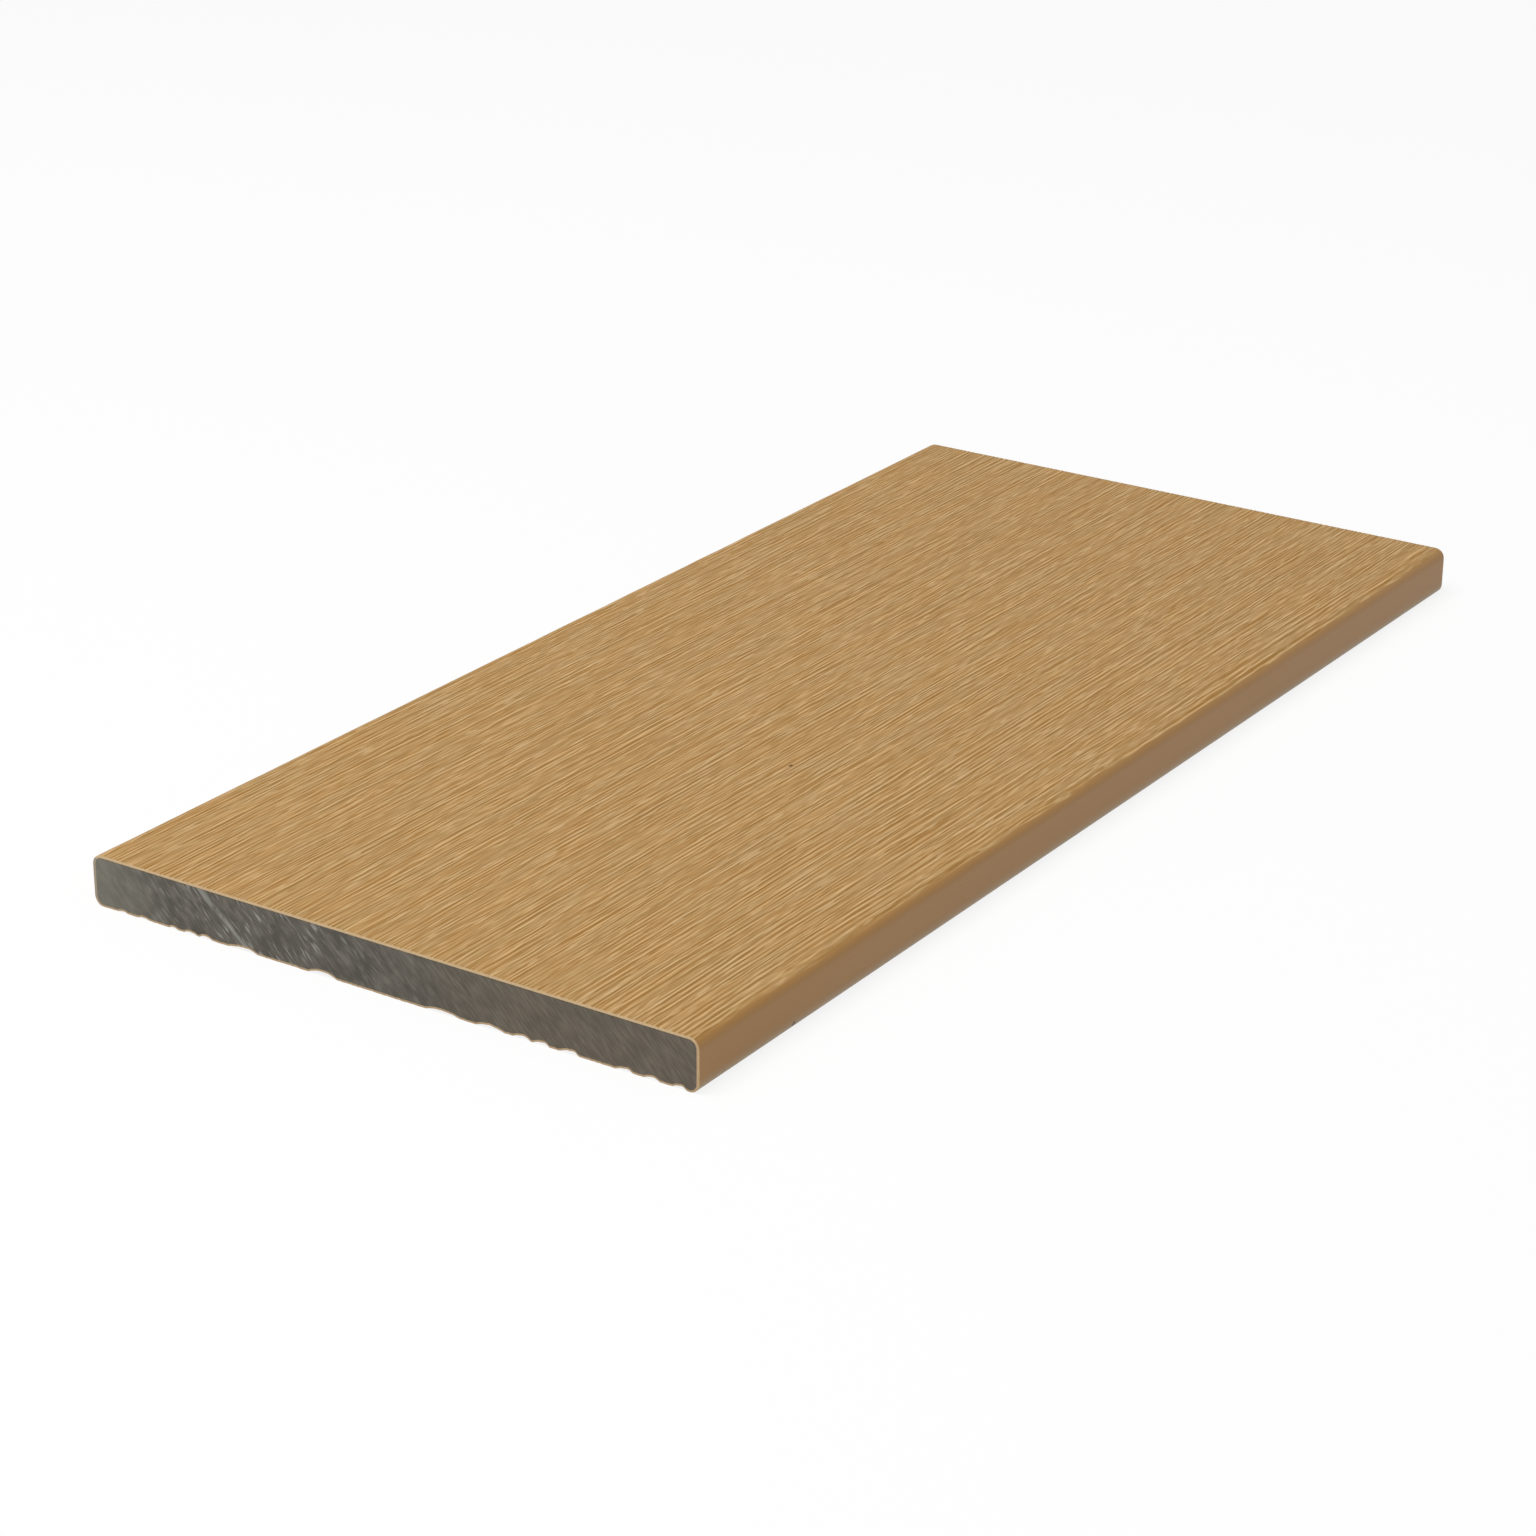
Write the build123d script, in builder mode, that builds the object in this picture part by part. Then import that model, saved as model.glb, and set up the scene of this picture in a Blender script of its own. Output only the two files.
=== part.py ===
"""Decking edge trim board: a grey composite core with a thin tan polymer cap extruded all round it.

Millimetres. X runs across the width, Y along the length and Z up through the thickness.
The origin is at the middle of the back, which is the face that the board lies on, show face up.
"""

import os
from itertools import cycle
from math import sqrt

from build123d import *

# Board
LENGTH = 400.0  # cut length of this piece
WIDTH = 184.0
THICKNESS = 14.2
FACE_RADIUS = 3.0  # rounded long edges of the show face
BACK_RADIUS = 2.8  # rounded long edges of the back

# Cap
FACE_CAP = 0.8  # over the show face and both long edges
BACK_CAP = 0.5  # over the back, where the cap is thinner
INNER_RADIUS_MIN = 0.3  # sharpest corner that the core is extruded with

# Embossed back: coarse grain grooves, listed from the left edge to the right.
# Each row is the flat land before the groove, the widths of its left and right sides, and its depth.
GROOVES = [
    (4.8, 1.9, 1.5, 0.40),
    (3.4, 1.6, 2.0, 0.45),
    (6.5, 1.5, 1.3, 0.48),
    (2.0, 1.7, 2.8, 0.60),
    (0.5, 1.9, 2.3, 0.75),
    (5.0, 6.3, 3.2, 0.90),
    (16.0, 4.8, 4.2, 1.10),
    (26.8, 4.8, 5.9, 0.80),
    (4.7, 3.8, 4.6, 0.80),
    (2.2, 3.4, 1.8, 0.85),
    (0.8, 3.2, 1.4, 0.80),
    (3.0, 4.2, 1.2, 0.90),
    (10.6, 3.2, 2.0, 0.70),
    (2.8, 2.6, 1.8, 0.78),
    (3.6, 2.8, 1.5, 0.78),
]
EDGE_LAND = 0.4  # flat left between the last groove and the rounded long edge


def grooves_across():
    """Gives each groove's middle, the widths of its sides and its depth. The rows repeat on a wider board."""
    edge = -WIDTH / 2 + BACK_RADIUS
    last_edge = WIDTH / 2 - BACK_RADIUS - EDGE_LAND
    for land, left, right, depth in cycle(GROOVES):
        middle = edge + land + left
        edge = middle + right
        if edge > last_edge:
            return
        yield middle, left, right, depth


def side_reach(width, depth, inset):
    """Gives how far one side of a groove reaches when its arc is drawn in by the inset."""
    radius = (width**2 + depth**2) / (2 * depth) + inset
    return sqrt(2 * radius * depth - depth**2)


def section_outline(face_inset=0.0, back_inset=0.0):
    """Draws the section with square corners, drawn in by the insets that a cap layer takes."""
    half_width = WIDTH / 2 - face_inset
    top = THICKNESS - face_inset
    corner = (-half_width, back_inset)
    point = corner
    for middle, left, right, depth in grooves_across():
        # Each side is an arc from the deepest point. The layer above keeps its centre, at an even distance.
        deepest = (middle, back_inset + depth)
        start = (middle - side_reach(left, depth, back_inset), back_inset)
        end = (middle + side_reach(right, depth, back_inset), back_inset)
        Line(point, start)
        TangentArc(deepest, start, tangent=(-1, 0))
        TangentArc(deepest, end, tangent=(1, 0))
        point = end
    Polyline(point, (half_width, back_inset), (half_width, top), (-half_width, top), corner)


def outermost_points(section):
    """Gives the points on the two long edges as they are now, in pairs from the back up to the show face."""
    across = section.vertices().group_by(Axis.X)
    return (across[0] + across[-1]).group_by(Axis.Y)


def round_long_edges(section, face_radius, back_radius):
    """Rounds the section's four corners, the upper two for the show face and the lower two for the back."""
    fillet(outermost_points(section)[-1], face_radius)
    fillet(outermost_points(section)[0], back_radius)


# Composite core: everything inside the cap
core_face_radius = max(FACE_RADIUS - FACE_CAP, INNER_RADIUS_MIN)
core_back_radius = max(BACK_RADIUS - FACE_CAP, INNER_RADIUS_MIN)

with BuildPart() as core:
    with BuildSketch(Plane.XZ) as core_section:
        with BuildLine():
            section_outline(FACE_CAP, BACK_CAP)
        make_face()
        round_long_edges(core_section, core_face_radius, core_back_radius)
    extrude(amount=LENGTH / 2, both=True)

# Polymer cap: a closed sleeve round the core, open only at the two cut ends
with BuildPart() as cap:
    with BuildSketch(Plane.XZ) as cap_section:
        with BuildLine():
            section_outline()
        make_face()
        round_long_edges(cap_section, FACE_RADIUS, BACK_RADIUS)
        add(core_section.sketch_local, mode=Mode.SUBTRACT)
    extrude(amount=LENGTH / 2, both=True)

core.part.label = "composite_core"
cap.part.label = "polymer_cap"

os.makedirs("parts", exist_ok=True)
for piece in (core.part, cap.part):
    export_step(piece, f"parts/{piece.label}.step")
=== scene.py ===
"""Looks of the decking edge trim board: a tan polymer cap with a brushed show face round a grey sawn core.

Blender works in metres here, in the board's own frame: X across the width, Y along the length and
Z up, with the show face on top. Sizes that are multiplied by MM are in metres. The node trees work in
millimetres, so the places and sizes that only they use are plain millimetres from the board's middle
and its back. A cell is the width and the length over which a noise changes.
"""

import math

import bmesh
import bpy
import numpy as np
from mathutils import Matrix, Vector


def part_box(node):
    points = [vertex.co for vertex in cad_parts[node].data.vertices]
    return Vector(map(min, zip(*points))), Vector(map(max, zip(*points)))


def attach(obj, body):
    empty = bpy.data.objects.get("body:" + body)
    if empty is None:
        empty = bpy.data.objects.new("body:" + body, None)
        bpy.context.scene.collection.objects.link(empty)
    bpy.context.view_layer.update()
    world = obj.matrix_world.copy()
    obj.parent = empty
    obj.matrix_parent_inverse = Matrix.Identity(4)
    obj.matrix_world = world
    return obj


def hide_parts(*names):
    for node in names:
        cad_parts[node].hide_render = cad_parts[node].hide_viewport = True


MM = 0.001
SAME_PLACE = 1e-6  # metres within which two coordinates count as one
JOIN_DISTANCE = 1e-7  # metres within which the points of two sheets are joined


def rgb(red, green, blue):
    """An sRGB colour of 0 to 255 as the linear colour that shaders take."""
    def linear(value):
        value /= 255
        return value / 12.92 if value <= 0.04045 else ((value + 0.055) / 1.055) ** 2.4
    return (linear(red), linear(green), linear(blue), 1.0)


# Colours. A pair is blended by a noise or across the board, from the first to the second.
WHITE = rgb(255, 255, 255)
CUT_TANS_AND_SHADE = rgb(153, 110, 49), rgb(151, 112, 54)  # in the cuts of the grain, partly their own tan and partly painted shade of the relief
RIDGE_TANS_AND_HIGHLIGHT = rgb(208, 169, 113), rgb(206, 171, 120)  # on its ridges, partly their own tan and partly a painted highlight of the relief
FLAT_TAN = rgb(204, 170, 121)  # on the small flats that the brush leaves
EDGE_TANS = rgb(157, 112, 49), rgb(165, 119, 56)  # on the smooth long edges
FOOT_REFLECTION_TAN = rgb(163, 140, 104)  # at their foot and over the back, a greyer tan that is a painted reflection of the white floor
MARK_BROWN = rgb(86, 50, 14)  # of the two small marks
RING_FACE_TANS_AND_HIGHLIGHT = rgb(200, 167, 124), rgb(222, 194, 152)  # on the cut edge of the cap, along the show face, partly whitened cut polymer and partly a painted highlight
RING_EDGE_TANS = rgb(184, 150, 108), rgb(206, 176, 135)  # along the right edge
# painted shade on the left of the cut edge
RING_LEFT_SHADE_GREY = rgb(162, 148, 126)
# painted shade along the back of the cut edge
RING_BACK_SHADE_TANS = rgb(170, 142, 108), rgb(198, 170, 134)
CORE_GREYS = rgb(102, 98, 90), rgb(111, 102, 89)  # on the left and on the right
MOTTLE_GREY = rgb(72, 68, 61)
SMEAR_GREY = rgb(142, 136, 124)
HATCH_GREY = rgb(72, 67, 59)
PALE_LEFT_GREY = rgb(136, 133, 121)
SCRATCH_GREY = rgb(160, 159, 153)
LONG_SCRATCH_GREY = rgb(158, 159, 151)

# Camera, fitted to the board's edges in the photograph
CAMERA_LOCATION = (0.5432, -0.8553, 0.4147)
CAMERA_AZIMUTH = 33.46
CAMERA_ELEVATION = 22.77
CAMERA_ROLL = 0.34
CAMERA_LENS = 92.15
CAMERA_SENSOR = 36.0

# Studio, in metres and watts
WORLD_STRENGTH = 0.36
KEY_LOCATION = (-0.32, -0.75, 1.95)
KEY_SIZE = 1.2
KEY_POWER = 33.5
FLOOR_REACH = 6.0
FLOOR_GREY = 0.93
FLOOR_LIFT = 0.86  # share of white in the floor that the camera sees, which leaves a faint shadow

# Mesh spacing of the cap and the core
FACE_STEP = 0.32 * MM  # across the show face, fine enough for its grain
BACK_STEP = 0.45 * MM  # across the back
ROWS = 70  # along the outside of the cap
CORE_ROWS = 24  # along the core and the inside of the cap, which don't show
CORE_LAYERS = 14  # up the core
END_ROW = 0.2 * MM  # first and last row, so short that the cut edges look crisp
ARC_STEPS = 7
SIDE_STEPS = 8

# Coarse grain of the back
BACK_RAYS = 1500  # measuring the CAD back across its flat
BACK_STEADY = 90 * MM  # distance from the near end over which the grooves begin to wander
BACK_WANDER = 3.0 * MM
BACK_SWINGS = (((16.0, 140.0), 1.0, 1), ((5.0, 90.0), 0.35, 2))  # cell, strength and seed
BACK_DEPTH_CELL = (9.0, 110.0)
BACK_DEPTH_CHANGE = 0.6
BACK_DEPTH_SEED = 3
BACK_LINES = (((1.6, 45.0), 4), ((0.9, 40.0), 5))  # cell and seed
BACK_ROUGHNESS = 0.10 * MM
BACK_END = 2.0 * MM  # distance from the rounding over which the grooves fade out
CORE_PLACES = 9  # places near each row of the core where the back is looked at

# Brushed grain of the show face
GRAIN_DEPTH = 0.16 * MM
GRAIN_STROKES = ((0.78, 150.0, 1.35), (0.78, 26.0, 0.90), (0.72, 6.2, 0.85))  # width, length and strength
PRESSED_STROKES = GRAIN_STROKES[:2]  # long enough for the rows of the mesh
STROKE_SHIFT = 30.0  # from the pattern of one row of strokes to the next
GRAIN_RIDGE = 0.42  # from the cut of a stroke to the ridge beside it
GRAIN_SWAY = (8.0, 80.0)
GRAIN_SWAY_REACH = 1.6
GRAIN_BUNDLES = (2.6, 22.0)  # places where the strokes are deeper
GRAIN_BUNDLE_RANGE = (0.35, 0.65)  # noise where a bundle begins, and where it is full
GRAIN_BUNDLE_STRENGTH = (0.45, 1.25)  # between the bundles and in them
GRAIN_STREAKS = (1.5, 45.0)
GRAIN_PATCHES = (1.7, 8.0)
GRAIN_UNEVENNESS = 0.55  # strength of the streaks and of the patches
GRAIN_FLATS = (1.2, 13.0)  # small flats that the brush leaves
FLATS_RANGE = (0.67, 0.75)  # noise where a flat begins, and where it is full
FLATS_SHARE = 0.60  # of the flats' colour
GRAIN_BORDER = 1.15 * MM  # distance from the long edge's flat to the end of the grain, on the rounding
BORDER_FADE = 0.25
BORDER_WAVES = (4.0, 12.0)
BORDER_WAVE_REACH = 0.7

# Other looks of the cap
CAP_BUMP = 0.15 * MM
CUT_ROUGHNESS, RIDGE_ROUGHNESS, EDGE_ROUGHNESS = 0.72, 0.56, 0.42
FACE_SPECULAR, EDGE_SPECULAR = 0.28, 0.45
DRAWN_RELIEF = (0.60, 0.64)  # heights between which the faint lines of the smooth faces lie
RIDGE_POWER = 1.6  # above 1, so that the lightest colour, partly a painted highlight, keeps to the tops of the ridges
TONE_PATCHES = (5.0, 30.0)
TONE_RANGE = (0.3, 0.7)
DRAWN_LINES = (0.6, 190.0)  # faint lines along the smooth faces
FOOT_HEIGHT = 1.2  # up to which the cap is greyer with the painted reflection of the floor
FOOT_FADE = 1.6  # above the rounding of the back, where the painted reflection at the foot ends
FOOT_REFLECTION_SHARE = 0.85  # of the painted reflection's greyer colour
SPECK = (21.1, -54.4)  # dark speck on the show face, across and along
SPECK_SIZE = (0.4, 0.8)
NICK = (-160.8, 1.9)  # nick at the foot of the right edge, along and up
NICK_SIZE = (0.7, 0.7)
SPOT_FADE = (0.4, 1.6)  # square of the distance in sizes where a mark begins to fade, and where it ends

# Cut edge of the cap
RING_BUMP = 0.05 * MM
RING_ROUGHNESS = 0.7
RING_SPECULAR = 0.3
RING_SCRATCHES = (0.5, 0.9)
RING_LEFT = (-80.0, -60.0)  # stretch across over which the greyer left part, painted shade, ends
RING_FACE = (1.6, 0.6)  # depth under the show face where its paler colour, partly a painted highlight, begins, and where it is full
RING_BACK = (1.0, 2.6)  # height up to which the back's colour, painted shade, is full, and where it ends

# Sawn core
CORE_BUMP = 0.08 * MM
CORE_ROUGHNESS = 0.75
CORE_SPECULAR = 0.25
SAW_SLOPE = 45.0  # degrees
SAW_SHIFT = 0.7  # how far the saw's lines move over for each millimetre along, so that the ends differ
SAW_HATCH = (0.45, 5.0)
HATCH_RANGE = (0.35, 0.65)  # noise where the dark of a line begins to fade, and where it ends
HATCH_SHARE = 0.42
SAW_SMEARS = (2.2, 5.0)
SMEAR_RANGE = (0.42, 0.66)  # noise where a pale smear begins, and where it is full
SMEAR_SHARES = (0.35, 0.12)  # on the left and on the right
CORE_PATCHES = (9.0, 7.0)
MOTTLE_RANGE = (0.35, 0.62)  # noise where the dark of a patch begins to fade, and where it ends
MOTTLE_SHARES = (0.50, 0.22)  # on the left and on the right
SAW_SCRATCHES = (0.55, 3.6)
SCRATCH_RANGE = (0.58, 0.80)  # noise where a pale scratch begins, and where it is full
SCRATCH_CLUSTERS = (0.40, 0.60)  # noise of the patches where scratches begin, and where they are full
SCRATCH_SHARES = (0.06, 0.70)  # elsewhere and in the worn stretch
SCRATCH_RELIEF = 0.4  # beside that of the hatch
WORN_MIDDLE = -40.0  # middle of the stretch across with pale scratches
WORN_REACH = (14.0, 44.0)  # distance from that middle where they begin to fade, and where they end
PALE_LEFT = (-92.0, -62.0)  # stretch across over which the paler left part ends
PALE_LEFT_SHARE = 0.5
WARM_RIGHT = (-10.0, 40.0)  # stretch across over which the grey turns warmer
LONG_SCRATCH = -41.0  # where the longest scratch would meet the back
LONG_SCRATCH_SLOPE = 40.0  # degrees
LONG_SCRATCH_REACH = (0.2, 1.1)  # distance from its middle line where it begins to fade, and where it ends
LONG_SCRATCH_SHARE = 0.55
LONG_SCRATCH_BREAKS = (0.30, 0.55)  # noise of the smears where it begins, and where it is full


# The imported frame

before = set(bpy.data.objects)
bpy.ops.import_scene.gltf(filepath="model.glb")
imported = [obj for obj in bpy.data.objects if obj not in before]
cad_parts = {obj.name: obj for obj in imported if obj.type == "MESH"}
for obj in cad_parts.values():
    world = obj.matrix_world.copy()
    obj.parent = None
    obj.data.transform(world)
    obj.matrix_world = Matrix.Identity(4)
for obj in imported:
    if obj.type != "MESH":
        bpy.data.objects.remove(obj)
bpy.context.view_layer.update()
cap_low, cap_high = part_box("polymer_cap")
core_low, core_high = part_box("composite_core")
HALF_WIDTH = cap_high.x
THICKNESS = cap_high.z
NEAR, FAR = cap_low.y, cap_high.y
LENGTH = FAR - NEAR
BACK_CAP = core_low.z - cap_low.z


def edge_flat(node):
    """Lowest and highest point of the flat on the right long edge of a CAD node."""
    points = [v.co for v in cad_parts[node].data.vertices]
    reach = max(p.x for p in points)
    heights = [p.z for p in points if reach - p.x < SAME_PLACE]
    return min(heights), max(heights)


EDGE_FOOT, EDGE_HEAD = edge_flat("polymer_cap")
FACE_RADIUS = THICKNESS - EDGE_HEAD
BACK_RADIUS = EDGE_FOOT
CORE_FOOT, CORE_HEAD = edge_flat("composite_core")
CORE_FACE_RADIUS = core_high.z - CORE_HEAD
CORE_BACK_RADIUS = CORE_FOOT - core_low.z
FACE_FLAT = HALF_WIDTH - FACE_RADIUS  # half the flat of the show face
BACK_FLAT = HALF_WIDTH - BACK_RADIUS  # half the flat of the back


# Smooth random values

def smooth_step(t):
    """Rises smoothly from 0 at 0 to 1 at 1, and is held beyond."""
    t = np.clip(t, 0.0, 1.0)
    return t * t * (3 - 2 * t)


def smooth_noise(x, y, cell, seed):
    """Values from -1 to 1 that change over about one cell each way."""
    cell_x, cell_y = cell[0] * MM, cell[1] * MM
    u = (x + 2 * HALF_WIDTH) / cell_x
    v = (y + LENGTH) / cell_y
    i, j = np.floor(u).astype(int), np.floor(v).astype(int)
    # The grid covers the whole board, so that every row of a mesh draws the same values.
    grid_size = (int(4 * HALF_WIDTH / cell_x) + 2, int(2 * LENGTH / cell_y) + 2)
    grid = np.random.default_rng(seed).uniform(-1, 1, grid_size)
    s, t = smooth_step(u - i), smooth_step(v - j)
    near = grid[i, j] * (1 - s) + grid[i + 1, j] * s
    far = grid[i, j + 1] * (1 - s) + grid[i + 1, j + 1] * s
    return near * (1 - t) + far * t


# The back's grooves

def cad_back_profile():
    """Height of the CAD cap's back across the width, measured with rays from below."""
    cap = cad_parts["polymer_cap"]
    x = np.linspace(-BACK_FLAT, BACK_FLAT, BACK_RAYS)
    up = Vector((0, 0, 1))
    z = [cap.ray_cast(Vector((at, 0, -THICKNESS)), up)[1].z for at in x]
    return x, np.array(z)


PROFILE_X, PROFILE_Z = cad_back_profile()


def back_height(x, y):
    """Height of the back: the CAD grooves at the near end, which wander and change in depth further on."""
    free = smooth_step((y - NEAR) / BACK_STEADY)
    wander = sum(strength * smooth_noise(x, y, cell, seed) for cell, strength, seed in BACK_SWINGS)
    depth = 1 + free * BACK_DEPTH_CHANGE * smooth_noise(x, y, BACK_DEPTH_CELL, BACK_DEPTH_SEED)
    groove = np.interp(x + free * BACK_WANDER * wander, PROFILE_X, PROFILE_Z) * depth
    lines = sum(np.abs(smooth_noise(x, y, cell, seed)) for cell, seed in BACK_LINES)
    inside = smooth_step((BACK_FLAT - np.abs(x)) / BACK_END)
    return np.maximum(groove + BACK_ROUGHNESS * lines, 0.0) * inside


def core_back(x, y):
    """Height of the core's back: the cap's thickness above its back at the highest within a row."""
    reach = LENGTH / CORE_ROWS if NEAR < y < FAR else 0.0
    places = np.clip(np.linspace(y - reach, y + reach, CORE_PLACES), NEAR, FAR)
    heights = [back_height(x, np.full_like(x, place)) for place in places]
    return np.max(heights, axis=0) + BACK_CAP


# Meshes out of sheets

class Sheets:
    """Collects grids of points and joins them into one closed mesh."""

    def __init__(self):
        self.points, self.faces, self.materials, self.smooth = [], [], [], []
        self.count = 0

    def add(self, grid, material=0, smooth=True):
        """Adds a grid of points. Its rows and columns turn anticlockwise seen from outside."""
        rows, columns = grid.shape[:2]
        index = np.arange(rows * columns).reshape(rows, columns) + self.count
        corners = [index[:-1, :-1], index[:-1, 1:], index[1:, 1:], index[1:, :-1]]
        quads = np.stack(corners, -1).reshape(-1, 4)
        self.points.append(grid.reshape(-1, 3))
        self.faces.append(quads)
        self.materials.append(np.full(len(quads), material))
        self.smooth.append(np.full(len(quads), smooth))
        self.count += rows * columns

    def build(self, name, materials):
        """Makes the object, with the sheets joined where their points meet."""
        mesh = bpy.data.meshes.new(name)
        mesh.from_pydata(np.concatenate(self.points).tolist(), [], np.concatenate(self.faces).tolist())
        mesh.polygons.foreach_set("material_index", np.concatenate(self.materials).astype(np.int32))
        mesh.polygons.foreach_set("use_smooth", np.concatenate(self.smooth))
        for material in materials:
            mesh.materials.append(material)
        joined = bmesh.new()
        joined.from_mesh(mesh)
        bmesh.ops.remove_doubles(joined, verts=joined.verts, dist=JOIN_DISTANCE)
        bmesh.ops.recalc_face_normals(joined, faces=joined.faces)
        joined.to_mesh(mesh)
        joined.free()
        piece = bpy.data.objects.new(name, mesh)
        bpy.context.scene.collection.objects.link(piece)
        return piece


def arc(centre_x, centre_z, radius, start, end):
    """Points of an arc from one angle to the other, without its first and last point."""
    angle = np.radians(np.linspace(start, end, ARC_STEPS + 1)[1:-1])
    return np.stack([centre_x + radius * np.cos(angle), centre_z + radius * np.sin(angle)], -1)


def across(limit, step):
    """Even places from one limit to the other, about a step apart."""
    count = int(round(2 * limit / step)) + 1
    return np.linspace(-limit, limit, count)


def section(y, outside):
    """Closed loop of the cap's outline at one place along the length, outside or inside the cap.

    It runs left to right over the show face, down the right edge and back under the board.
    """
    reach = HALF_WIDTH if outside else core_high.x
    top = THICKNESS if outside else core_high.z
    head, foot = (EDGE_HEAD, EDGE_FOOT) if outside else (CORE_HEAD, CORE_FOOT)
    face_radius = FACE_RADIUS if outside else CORE_FACE_RADIUS
    back_radius = BACK_RADIUS if outside else CORE_BACK_RADIUS

    face_x = across(FACE_FLAT, FACE_STEP)
    face = np.stack([face_x, np.full_like(face_x, top)], -1)
    side_z = np.linspace(head, foot, SIDE_STEPS + 1)
    right = np.stack([np.full_like(side_z, reach), side_z], -1)
    back_x = across(BACK_FLAT, BACK_STEP)[::-1]
    back_z = back_height(back_x, np.full_like(back_x, y)) if outside else core_back(back_x, y)
    back = np.stack([back_x, back_z], -1)
    mirror = np.array([-1.0, 1.0])
    head_arc = arc(FACE_FLAT, head, face_radius, 90, 0)
    foot_arc = arc(BACK_FLAT, foot, back_radius, 0, -90)
    loop = [face, head_arc, right, foot_arc, back, foot_arc[::-1] * mirror, right[::-1] * mirror,
            head_arc[::-1] * mirror, face[:1]]
    return np.concatenate(loop)


def stations(rows):
    """Places along the length for so many rows, of which the first and the last are short."""
    return np.concatenate([[NEAR], np.linspace(NEAR + END_ROW, FAR - END_ROW, rows - 1), [FAR]])


def tube(rows, outside):
    """Grid of points of the cap's outer or inner surface, one section for each station."""
    loops = []
    for y in stations(rows):
        loop = section(y, outside)
        loops.append(np.stack([loop[:, 0], np.full(len(loop), y), loop[:, 1]], -1))
    return np.stack(loops)


def make_cap(materials):
    """The cap as one closed sleeve, with the cut rings at its ends as its second material."""
    outer, inner = tube(ROWS, True), tube(CORE_ROWS, False)
    sheets = Sheets()
    sheets.add(outer)
    sheets.add(inner[:, ::-1])
    sheets.add(np.stack([inner[0], outer[0]]), material=1, smooth=False)
    sheets.add(np.stack([outer[-1], inner[-1]]), material=1, smooth=False)
    return sheets.build("cap", materials)


def core_outline(x, y):
    """Lowest and highest points of the core across its width, at one place along the length."""
    over = np.clip(np.abs(x) - FACE_FLAT, 0, CORE_FACE_RADIUS)
    top = CORE_HEAD + np.sqrt(np.maximum(CORE_FACE_RADIUS**2 - over**2, 0))
    under = np.clip(np.abs(x) - BACK_FLAT, 0, CORE_BACK_RADIUS)
    arc_foot = CORE_FOOT - np.sqrt(np.maximum(CORE_BACK_RADIUS**2 - under**2, 0))
    inside = np.abs(x) <= BACK_FLAT
    bottom = np.where(inside, core_back(np.clip(x, -BACK_FLAT, BACK_FLAT), y), arc_foot)
    return bottom, top


def make_core(material):
    """The core as one closed solid, with a finely divided face at each sawn end."""
    angle = np.radians(np.linspace(90, 0, ARC_STEPS + 1))
    back_arc = BACK_FLAT + CORE_BACK_RADIUS * np.cos(angle)
    face_arc = FACE_FLAT + CORE_FACE_RADIUS * np.cos(angle)
    places = [across(BACK_FLAT, BACK_STEP), back_arc, -back_arc, face_arc, -face_arc]
    x = np.unique(np.round(np.concatenate(places), 8))
    share = np.linspace(0, 1, CORE_LAYERS + 1)

    def slice_at(y):
        bottom, top = core_outline(x, y)
        z = bottom + (top - bottom) * share[:, None]
        return np.stack([np.broadcast_to(x, z.shape), np.full(z.shape, y), z], -1)

    slices = np.stack([slice_at(y) for y in stations(CORE_ROWS)])
    sheets = Sheets()
    sheets.add(slices[0], smooth=False)
    sheets.add(slices[-1][:, ::-1], smooth=False)
    sheets.add(slices[:, -1])
    sheets.add(slices[:, 0][:, ::-1])
    sheets.add(slices[:, :, 0][::-1])
    sheets.add(slices[:, :, -1])
    return sheets.build("core", [material])


# Node trees

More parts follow.
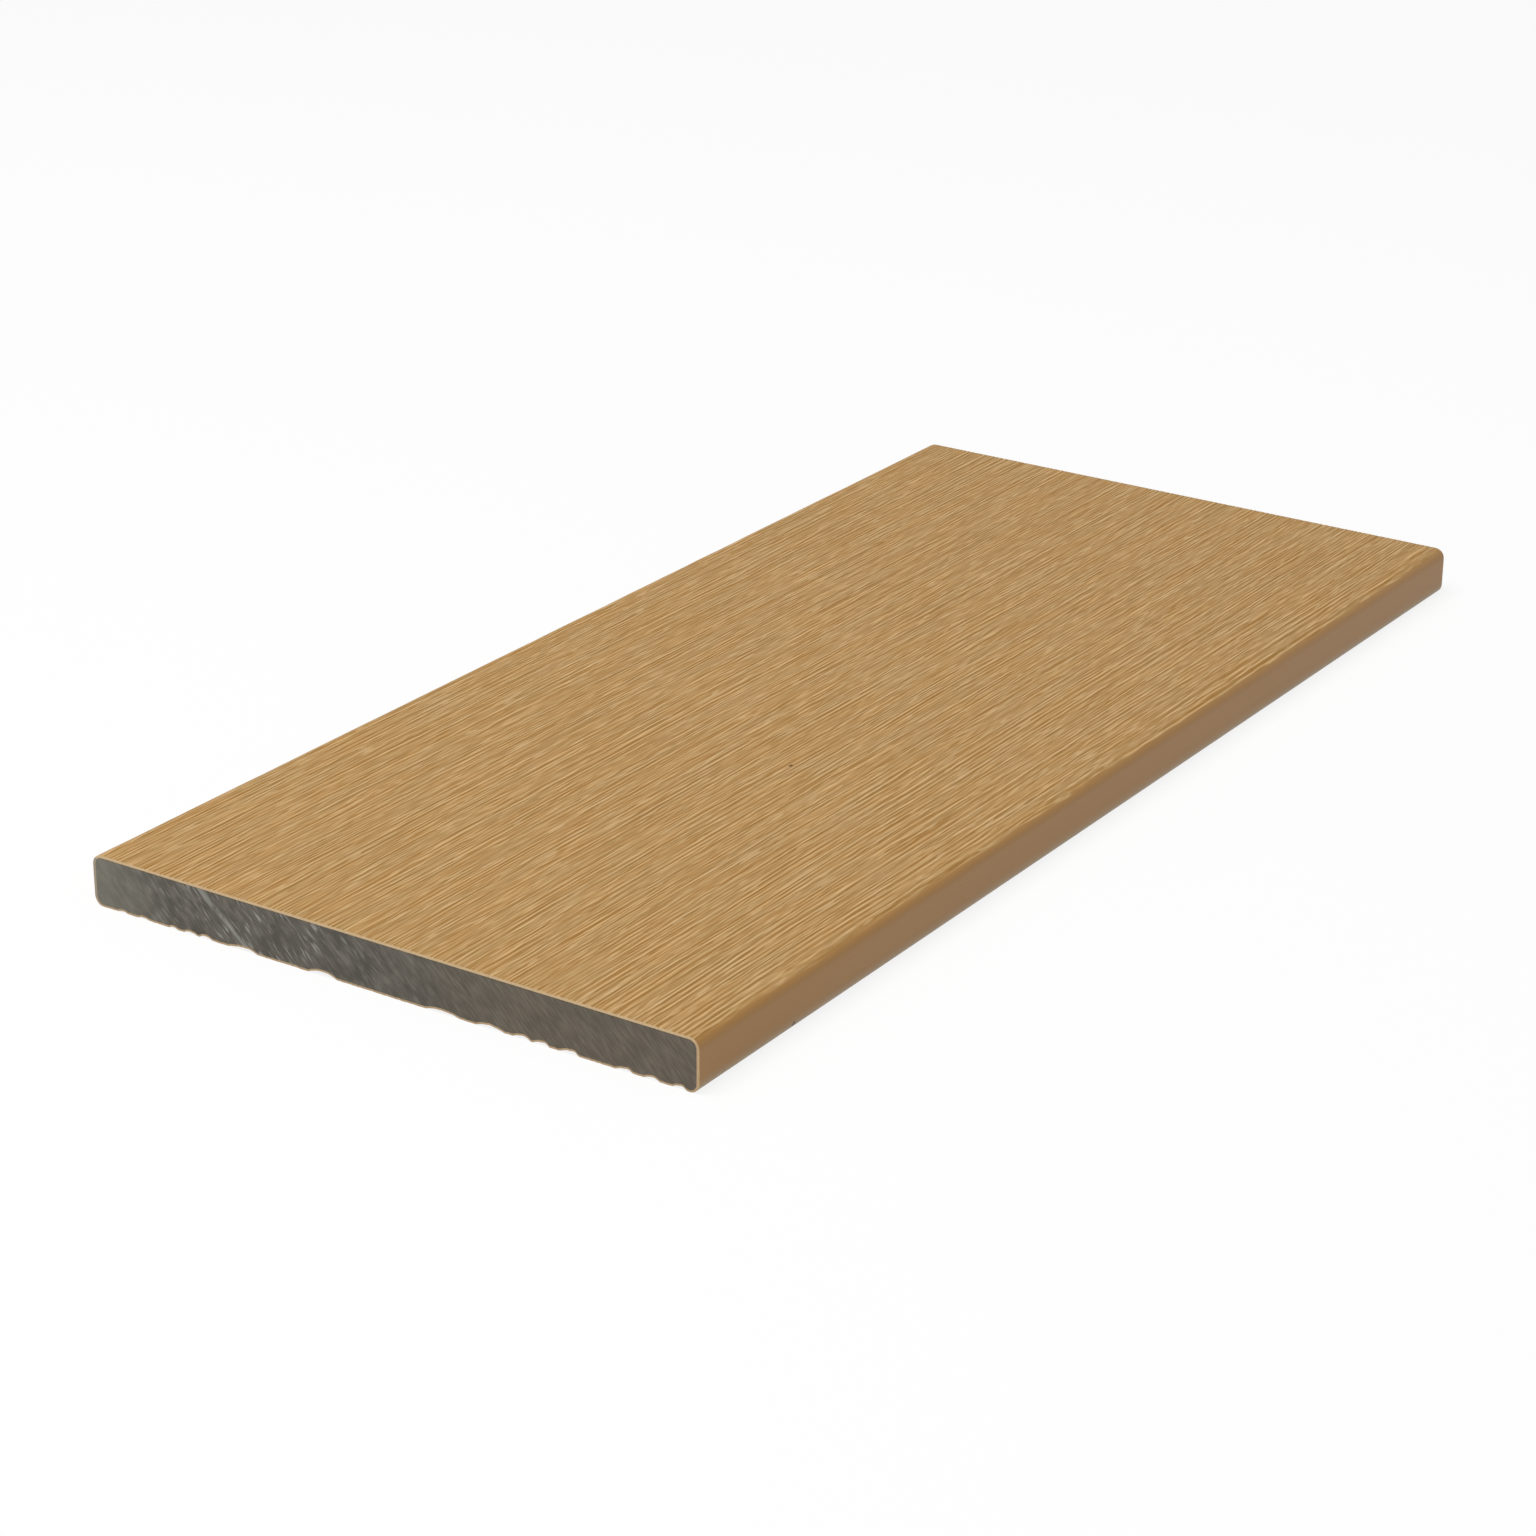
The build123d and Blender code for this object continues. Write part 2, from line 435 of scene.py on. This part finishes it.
class Nodes:
    """Adds nodes to a shader or geometry tree and joins them."""

    def __init__(self, tree):
        self.tree = tree
        tree.nodes.clear()

    def add(self, kind, inputs=None, **settings):
        """A node with its settings. Each input is a number, a colour or another node's output."""
        node = self.tree.nodes.new(kind)
        for name, value in settings.items():
            setattr(node, name, value)
        for key, value in (inputs or {}).items():
            if isinstance(value, bpy.types.NodeSocket):
                self.tree.links.new(value, node.inputs[key])
            else:
                node.inputs[key].default_value = value
        return node

    def math(self, operation, a, b=0.0):
        return self.add("ShaderNodeMath", {0: a, 1: b}, operation=operation).outputs[0]

    def times(self, a, b):
        return self.math("MULTIPLY", a, b)

    def range(self, value, low, high, to_low=0.0, to_high=1.0):
        """Value from low to high carried smoothly to the second range, and held beyond it."""
        inputs = {"Value": value, "From Min": low, "From Max": high, "To Min": to_low, "To Max": to_high}
        return self.add("ShaderNodeMapRange", inputs, interpolation_type="SMOOTHSTEP").outputs[0]

    def noise(self, x, y, cell, detail=0.0, shift=0.0):
        """Noise from 0 to 1 in a plane. The shift moves its pattern along, so that two noises differ."""
        u = self.math("DIVIDE", x, cell[0])
        v = self.math("ADD", self.math("DIVIDE", y, cell[1]), shift)
        plane = self.add("ShaderNodeCombineXYZ", {0: u, 1: v}).outputs[0]
        inputs = {"Vector": plane, "Scale": 1.0, "Detail": detail, "Roughness": 0.5}
        return self.add("ShaderNodeTexNoise", inputs, noise_dimensions="2D").outputs[0]

    def centred_noise(self, x, y, cell, strength, detail=1.0, shift=0.0):
        """Noise about zero."""
        noise = self.noise(x, y, cell, detail=detail, shift=shift)
        return self.times(self.math("SUBTRACT", noise, 0.5), strength)

    def mix(self, factor, a, b):
        """One number between two others."""
        inputs = {"Factor": factor, "A": a, "B": b}
        return self.add("ShaderNodeMix", inputs, data_type="FLOAT").outputs[0]

    def blend(self, factor, a, b):
        """One colour between two others. A mix node's colours are its inputs 6 and 7 and its output 2."""
        return self.add("ShaderNodeMix", {0: factor, 6: a, 7: b}, data_type="RGBA").outputs[2]

    def millimetres(self, position):
        """The three coordinates of a position, in millimetres."""
        scaled = self.add("ShaderNodeVectorMath", {0: position, "Scale": 1 / MM}, operation="SCALE")
        return self.add("ShaderNodeSeparateXYZ", {0: scaled.outputs[0]}).outputs

    def place(self):
        """The place on the surface in the board's frame, in millimetres."""
        return self.millimetres(self.add("ShaderNodeTexCoord").outputs["Object"])

    def seen(self):
        """1 for the rays by which the background is seen, and 0 for those by which it gives light."""
        rays = self.add("ShaderNodeLightPath").outputs
        direct = self.math("MAXIMUM", rays["Is Camera Ray"], rays["Is Glossy Ray"])
        return self.math("MAXIMUM", direct, rays["Is Transmission Ray"])


# The brushed grain

def grain(nodes, x, y, strokes):
    """The brushed grain as a height from 0 to 1. Each stroke is a cut with a ridge beside it."""
    bent = nodes.math("ADD", x, nodes.centred_noise(x, y, GRAIN_SWAY, GRAIN_SWAY_REACH))
    beside = nodes.math("ADD", bent, GRAIN_RIDGE)
    combed = 0.0
    for number, (width, length, strength) in enumerate(strokes):
        shift = STROKE_SHIFT * number
        ridge = nodes.noise(bent, y, (width, length), shift=shift)
        cut = nodes.noise(beside, y, (width, length), shift=shift)
        stroke = nodes.times(nodes.math("SUBTRACT", ridge, cut), strength)
        combed = nodes.math("ADD", combed, stroke)
    bundles = nodes.noise(bent, y, GRAIN_BUNDLES, detail=1.0, shift=90.0)
    combed = nodes.times(combed, nodes.range(bundles, *GRAIN_BUNDLE_RANGE, *GRAIN_BUNDLE_STRENGTH))
    for cell, shift in ((GRAIN_STREAKS, 20.0), (GRAIN_PATCHES, 55.0)):
        uneven = nodes.centred_noise(bent, y, cell, GRAIN_UNEVENNESS, shift=shift)
        combed = nodes.math("ADD", combed, uneven)
    return nodes.range(combed, -1.0, 1.0)


def show_face_mask(nodes, x, y, z):
    """1 on the brushed show face and 0 on the smooth long edges, with a ragged border on the rounding."""
    ragged = nodes.centred_noise(x, y, BORDER_WAVES, BORDER_WAVE_REACH, detail=0.0, shift=7.0)
    reach = nodes.math("ADD", nodes.math("ABSOLUTE", x), ragged)
    border = (HALF_WIDTH - GRAIN_BORDER) / MM
    inside = nodes.range(reach, border - BORDER_FADE, border + BORDER_FADE, 1.0, 0.0)
    return nodes.times(inside, nodes.math("GREATER_THAN", z, THICKNESS / MM / 2))


def press_grain(piece):
    """Presses the longer strokes of the grain into the mesh of the show face."""
    tree = bpy.data.node_groups.new("press_grain", "GeometryNodeTree")
    tree.interface.new_socket("Geometry", in_out="INPUT", socket_type="NodeSocketGeometry")
    tree.interface.new_socket("Geometry", in_out="OUTPUT", socket_type="NodeSocketGeometry")
    nodes = Nodes(tree)
    start = nodes.add("NodeGroupInput")
    x, y, z = nodes.millimetres(nodes.add("GeometryNodeInputPosition").outputs[0])
    height = grain(nodes, x, y, PRESSED_STROKES)
    depth = nodes.times(nodes.math("SUBTRACT", 1.0, height), GRAIN_DEPTH)
    drop = nodes.times(nodes.times(depth, show_face_mask(nodes, x, y, z)), -1.0)
    offset = nodes.add("ShaderNodeCombineXYZ", {2: drop}).outputs[0]
    pressed = nodes.add("GeometryNodeSetPosition", {"Geometry": start.outputs[0], "Offset": offset})
    nodes.add("NodeGroupOutput", {0: pressed.outputs[0]})
    modifier = piece.modifiers.new("press_grain", "NODES")
    modifier.node_group = tree
    bpy.context.view_layer.update()
    pressed_piece = piece.evaluated_get(bpy.context.evaluated_depsgraph_get())
    mesh = bpy.data.meshes.new_from_object(pressed_piece)
    piece.modifiers.clear()
    piece.data = mesh


# Materials

def new_material(name):
    """An empty material and its nodes."""
    material = bpy.data.materials.new(name)
    material.use_nodes = True
    return material, Nodes(material.node_tree)


def finish_material(nodes, colour, roughness, height, depth, specular):
    """Joins a colour, a roughness and a relief into one surface."""
    bump = nodes.add("ShaderNodeBump", {"Height": height, "Strength": 1.0, "Distance": depth})
    inputs = {"Base Color": colour, "Roughness": roughness, "Specular IOR Level": specular,
              "Normal": bump.outputs[0]}
    surface = nodes.add("ShaderNodeBsdfPrincipled", inputs)
    nodes.add("ShaderNodeOutputMaterial", {"Surface": surface.outputs[0]})


def spot(nodes, u, v, centre, size):
    """1 in a small oval spot and 0 outside it."""
    side = nodes.math("DIVIDE", nodes.math("SUBTRACT", u, centre[0]), size[0])
    up = nodes.math("DIVIDE", nodes.math("SUBTRACT", v, centre[1]), size[1])
    spread = nodes.math("ADD", nodes.times(side, side), nodes.times(up, up))
    return nodes.range(spread, *SPOT_FADE, 1.0, 0.0)


def brushed_colour(nodes, x, y, height):
    """Tan of the show face: dark in the cuts of the grain and light on its ridges, partly its own colour
    and partly painted shade and highlight of its relief, and pale on its flats.
    """
    tone = nodes.range(nodes.noise(x, y, TONE_PATCHES, detail=2.0, shift=30.0), *TONE_RANGE)
    cuts = nodes.blend(tone, *CUT_TANS_AND_SHADE)
    ridges = nodes.blend(tone, *RIDGE_TANS_AND_HIGHLIGHT)
    # blending by height paints the shade of the cuts and the highlight of the ridges over the grain's own
    # tan
    colour = nodes.blend(nodes.math("POWER", height, RIDGE_POWER), cuts, ridges)
    brushed = nodes.noise(x, y, GRAIN_FLATS, detail=1.0, shift=70.0)
    flats = nodes.range(brushed, *FLATS_RANGE, 0.0, FLATS_SHARE)
    return nodes.blend(flats, colour, FLAT_TAN)


def smooth_colour(nodes, drawn, z):
    """Deeper tan of the long edges, greyer at their foot and over the back with a painted reflection of the
    white floor.
    """
    colour = nodes.blend(drawn, *EDGE_TANS)
    # painted reflection of the white floor: a greyer tan at the foot, carried on over the back
    foot = nodes.range(z, FOOT_HEIGHT, EDGE_FOOT / MM + FOOT_FADE, FOOT_REFLECTION_SHARE, 0.0)
    return nodes.blend(foot, colour, FOOT_REFLECTION_TAN)


def cap_material():
    """Tan polymer: brushed on the show face and smooth elsewhere, with two small dark marks."""
    material, nodes = new_material("tan_cap")
    x, y, z = nodes.place()
    height = grain(nodes, x, y, GRAIN_STROKES)
    drawn = nodes.noise(nodes.math("ADD", x, z), y, DRAWN_LINES, detail=2.0, shift=3.0)
    face = show_face_mask(nodes, x, y, z)
    colour = nodes.blend(face, smooth_colour(nodes, drawn, z), brushed_colour(nodes, x, y, height))
    speck = nodes.times(spot(nodes, x, y, SPECK, SPECK_SIZE), face)
    nick = nodes.times(spot(nodes, y, z, NICK, NICK_SIZE), nodes.math("GREATER_THAN", x, 0.0))
    colour = nodes.blend(nodes.math("MAXIMUM", speck, nick), colour, MARK_BROWN)
    face_roughness = nodes.mix(height, CUT_ROUGHNESS, RIDGE_ROUGHNESS)
    roughness = nodes.mix(face, EDGE_ROUGHNESS, face_roughness)
    relief = nodes.mix(face, nodes.mix(drawn, *DRAWN_RELIEF), height)
    specular = nodes.mix(face, EDGE_SPECULAR, FACE_SPECULAR)
    finish_material(nodes, colour, roughness, relief, CAP_BUMP, specular)
    return material


def cut_cap_material():
    """Cut edge of the cap: palest along the show face, partly whitened cut polymer and partly a painted
    highlight; greyer on the left and browner along the back, both painted shade.
    """
    material, nodes = new_material("cut_cap")
    x, _, z = nodes.place()
    scratch = nodes.noise(x, z, RING_SCRATCHES, detail=2.0, shift=5.0)
    right = nodes.blend(scratch, *RING_EDGE_TANS)
    # the greyer left part is painted shade
    edge = nodes.blend(nodes.range(x, *RING_LEFT), RING_LEFT_SHADE_GREY, right)
    # the paler colour along the show face is partly a painted highlight
    face = nodes.blend(scratch, *RING_FACE_TANS_AND_HIGHLIGHT)
    # the browner colour along the back is painted shade
    back = nodes.blend(scratch, *RING_BACK_SHADE_TANS)
    face_start, face_full = (THICKNESS / MM - depth for depth in RING_FACE)
    colour = nodes.blend(nodes.range(z, face_start, face_full), edge, face)
    colour = nodes.blend(nodes.range(z, *RING_BACK), back, colour)
    finish_material(nodes, colour, RING_ROUGHNESS, scratch, RING_BUMP, RING_SPECULAR)
    return material


def slanted(nodes, x, z, slope):
    """Coordinates along and across a line that falls to the right at the given angle."""
    cosine, sine = math.cos(math.radians(slope)), math.sin(math.radians(slope))
    along = nodes.math("SUBTRACT", nodes.times(x, cosine), nodes.times(z, sine))
    over = nodes.math("ADD", nodes.times(x, sine), nodes.times(z, cosine))
    return along, over


def core_grey(nodes, x, mottle, smear, hatch):
    """Grey of the core: warmer and calmer to the right, paler at the left edge and hatched by the saw."""
    warm = nodes.range(x, *WARM_RIGHT)
    grey = nodes.blend(warm, *CORE_GREYS)
    dark = nodes.times(nodes.range(mottle, *MOTTLE_RANGE, 1.0, 0.0), nodes.mix(warm, *MOTTLE_SHARES))
    grey = nodes.blend(dark, grey, MOTTLE_GREY)
    light = nodes.times(nodes.range(smear, *SMEAR_RANGE), nodes.mix(warm, *SMEAR_SHARES))
    grey = nodes.blend(light, grey, SMEAR_GREY)
    grey = nodes.blend(nodes.range(hatch, *HATCH_RANGE, HATCH_SHARE, 0.0), grey, HATCH_GREY)
    return nodes.blend(nodes.range(x, *PALE_LEFT, PALE_LEFT_SHARE, 0.0), grey, PALE_LEFT_GREY)


def core_material():
    """Grey sawn composite: mottled, hatched by the slanting saw, with pale scratches left of the middle."""
    material, nodes = new_material("grey_core")
    x, y, z = nodes.place()
    along, over = slanted(nodes, x, z, SAW_SLOPE)
    over = nodes.math("ADD", over, nodes.times(y, SAW_SHIFT))
    hatch = nodes.noise(over, along, SAW_HATCH, detail=1.0)
    smear = nodes.noise(over, along, SAW_SMEARS, detail=3.0, shift=8.0)
    mottle = nodes.noise(x, z, CORE_PATCHES, detail=4.0, shift=6.0)
    grey = core_grey(nodes, x, mottle, smear, hatch)

    scratches = nodes.range(nodes.noise(over, along, SAW_SCRATCHES, shift=12.0), *SCRATCH_RANGE)
    clusters = nodes.range(nodes.noise(x, z, CORE_PATCHES, detail=2.0, shift=2.0), *SCRATCH_CLUSTERS)
    from_worn = nodes.math("ABSOLUTE", nodes.math("SUBTRACT", x, WORN_MIDDLE))
    worn = nodes.range(from_worn, *WORN_REACH, 1.0, 0.0)
    pale = nodes.times(nodes.times(scratches, clusters), nodes.mix(worn, *SCRATCH_SHARES))
    colour = nodes.blend(pale, grey, SCRATCH_GREY)

    _, from_line = slanted(nodes, nodes.math("SUBTRACT", x, LONG_SCRATCH), z, LONG_SCRATCH_SLOPE)
    from_line = nodes.math("ABSOLUTE", from_line)
    line = nodes.range(from_line, *LONG_SCRATCH_REACH, LONG_SCRATCH_SHARE, 0.0)
    line = nodes.times(line, nodes.range(smear, *LONG_SCRATCH_BREAKS))
    colour = nodes.blend(line, colour, LONG_SCRATCH_GREY)

    relief = nodes.math("ADD", hatch, nodes.times(scratches, SCRATCH_RELIEF))
    finish_material(nodes, colour, CORE_ROUGHNESS, relief, CORE_BUMP, CORE_SPECULAR)
    return material


# Studio

def make_camera():
    """The camera of the photograph."""
    camera = bpy.data.objects.new("camera", bpy.data.cameras.new("camera"))
    camera.data.lens, camera.data.sensor_width = CAMERA_LENS, CAMERA_SENSOR
    azimuth, elevation = math.radians(CAMERA_AZIMUTH), math.radians(CAMERA_ELEVATION)
    back = Vector((math.sin(azimuth) * math.cos(elevation), -math.cos(azimuth) * math.cos(elevation),
                   math.sin(elevation)))
    turn = (-back).to_track_quat("-Z", "Y").to_matrix().to_4x4()
    roll = Matrix.Rotation(math.radians(CAMERA_ROLL), 4, "Z")
    camera.matrix_world = Matrix.Translation(CAMERA_LOCATION) @ turn @ roll
    bpy.context.scene.collection.objects.link(camera)
    bpy.context.scene.camera = camera


def make_floor():
    """Pale floor that takes the board's shadow, lifted towards white where the camera sees it."""
    mesh = bpy.data.meshes.new("floor")
    corners = [(x * FLOOR_REACH, y * FLOOR_REACH, 0) for x, y in ((-1, -1), (1, -1), (1, 1), (-1, 1))]
    mesh.from_pydata(corners, [], [(0, 1, 2, 3)])
    floor = bpy.data.objects.new("floor", mesh)
    bpy.context.scene.collection.objects.link(floor)
    material, nodes = new_material("floor")
    pale = nodes.add("ShaderNodeBsdfDiffuse", {"Color": (FLOOR_GREY, FLOOR_GREY, FLOOR_GREY, 1)})
    white = nodes.add("ShaderNodeEmission", {"Color": WHITE, "Strength": 1.0})
    lift = nodes.times(nodes.seen(), FLOOR_LIFT)
    mixed = nodes.add("ShaderNodeMixShader", {0: lift, 1: pale.outputs[0], 2: white.outputs[0]})
    nodes.add("ShaderNodeOutputMaterial", {"Surface": mixed.outputs[0]})
    mesh.materials.append(material)


def make_world():
    """Even white surroundings, seen as white and lighting the board at their own strength."""
    world = bpy.data.worlds.new("studio")
    bpy.context.scene.world = world
    world.use_nodes = True
    nodes = Nodes(world.node_tree)
    level = nodes.mix(nodes.seen(), WORLD_STRENGTH, 1.0)
    light = nodes.add("ShaderNodeBackground", {"Color": WHITE, "Strength": level})
    nodes.add("ShaderNodeOutputWorld", {"Surface": light.outputs[0]})


def make_key_lamp():
    """A square lamp above the board, a little to the left and in front, aimed at its middle."""
    lamp = bpy.data.lights.new("key", "AREA")
    lamp.shape, lamp.size, lamp.energy = "SQUARE", KEY_SIZE, KEY_POWER
    holder = bpy.data.objects.new("key", lamp)
    holder.location = KEY_LOCATION
    holder.rotation_mode = "QUATERNION"
    holder.rotation_quaternion = (-Vector(KEY_LOCATION)).to_track_quat("-Z", "Y")
    bpy.context.scene.collection.objects.link(holder)


# The scene

make_camera()
make_floor()
make_world()
make_key_lamp()
bpy.context.scene.view_settings.view_transform = "Standard"

cap = make_cap([cap_material(), cut_cap_material()])
press_grain(cap)
core = make_core(core_material())
for piece, node, slot in ((cap, "polymer_cap", "cap"), (core, "composite_core", "core")):
    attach(piece, "root")
    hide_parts(node)
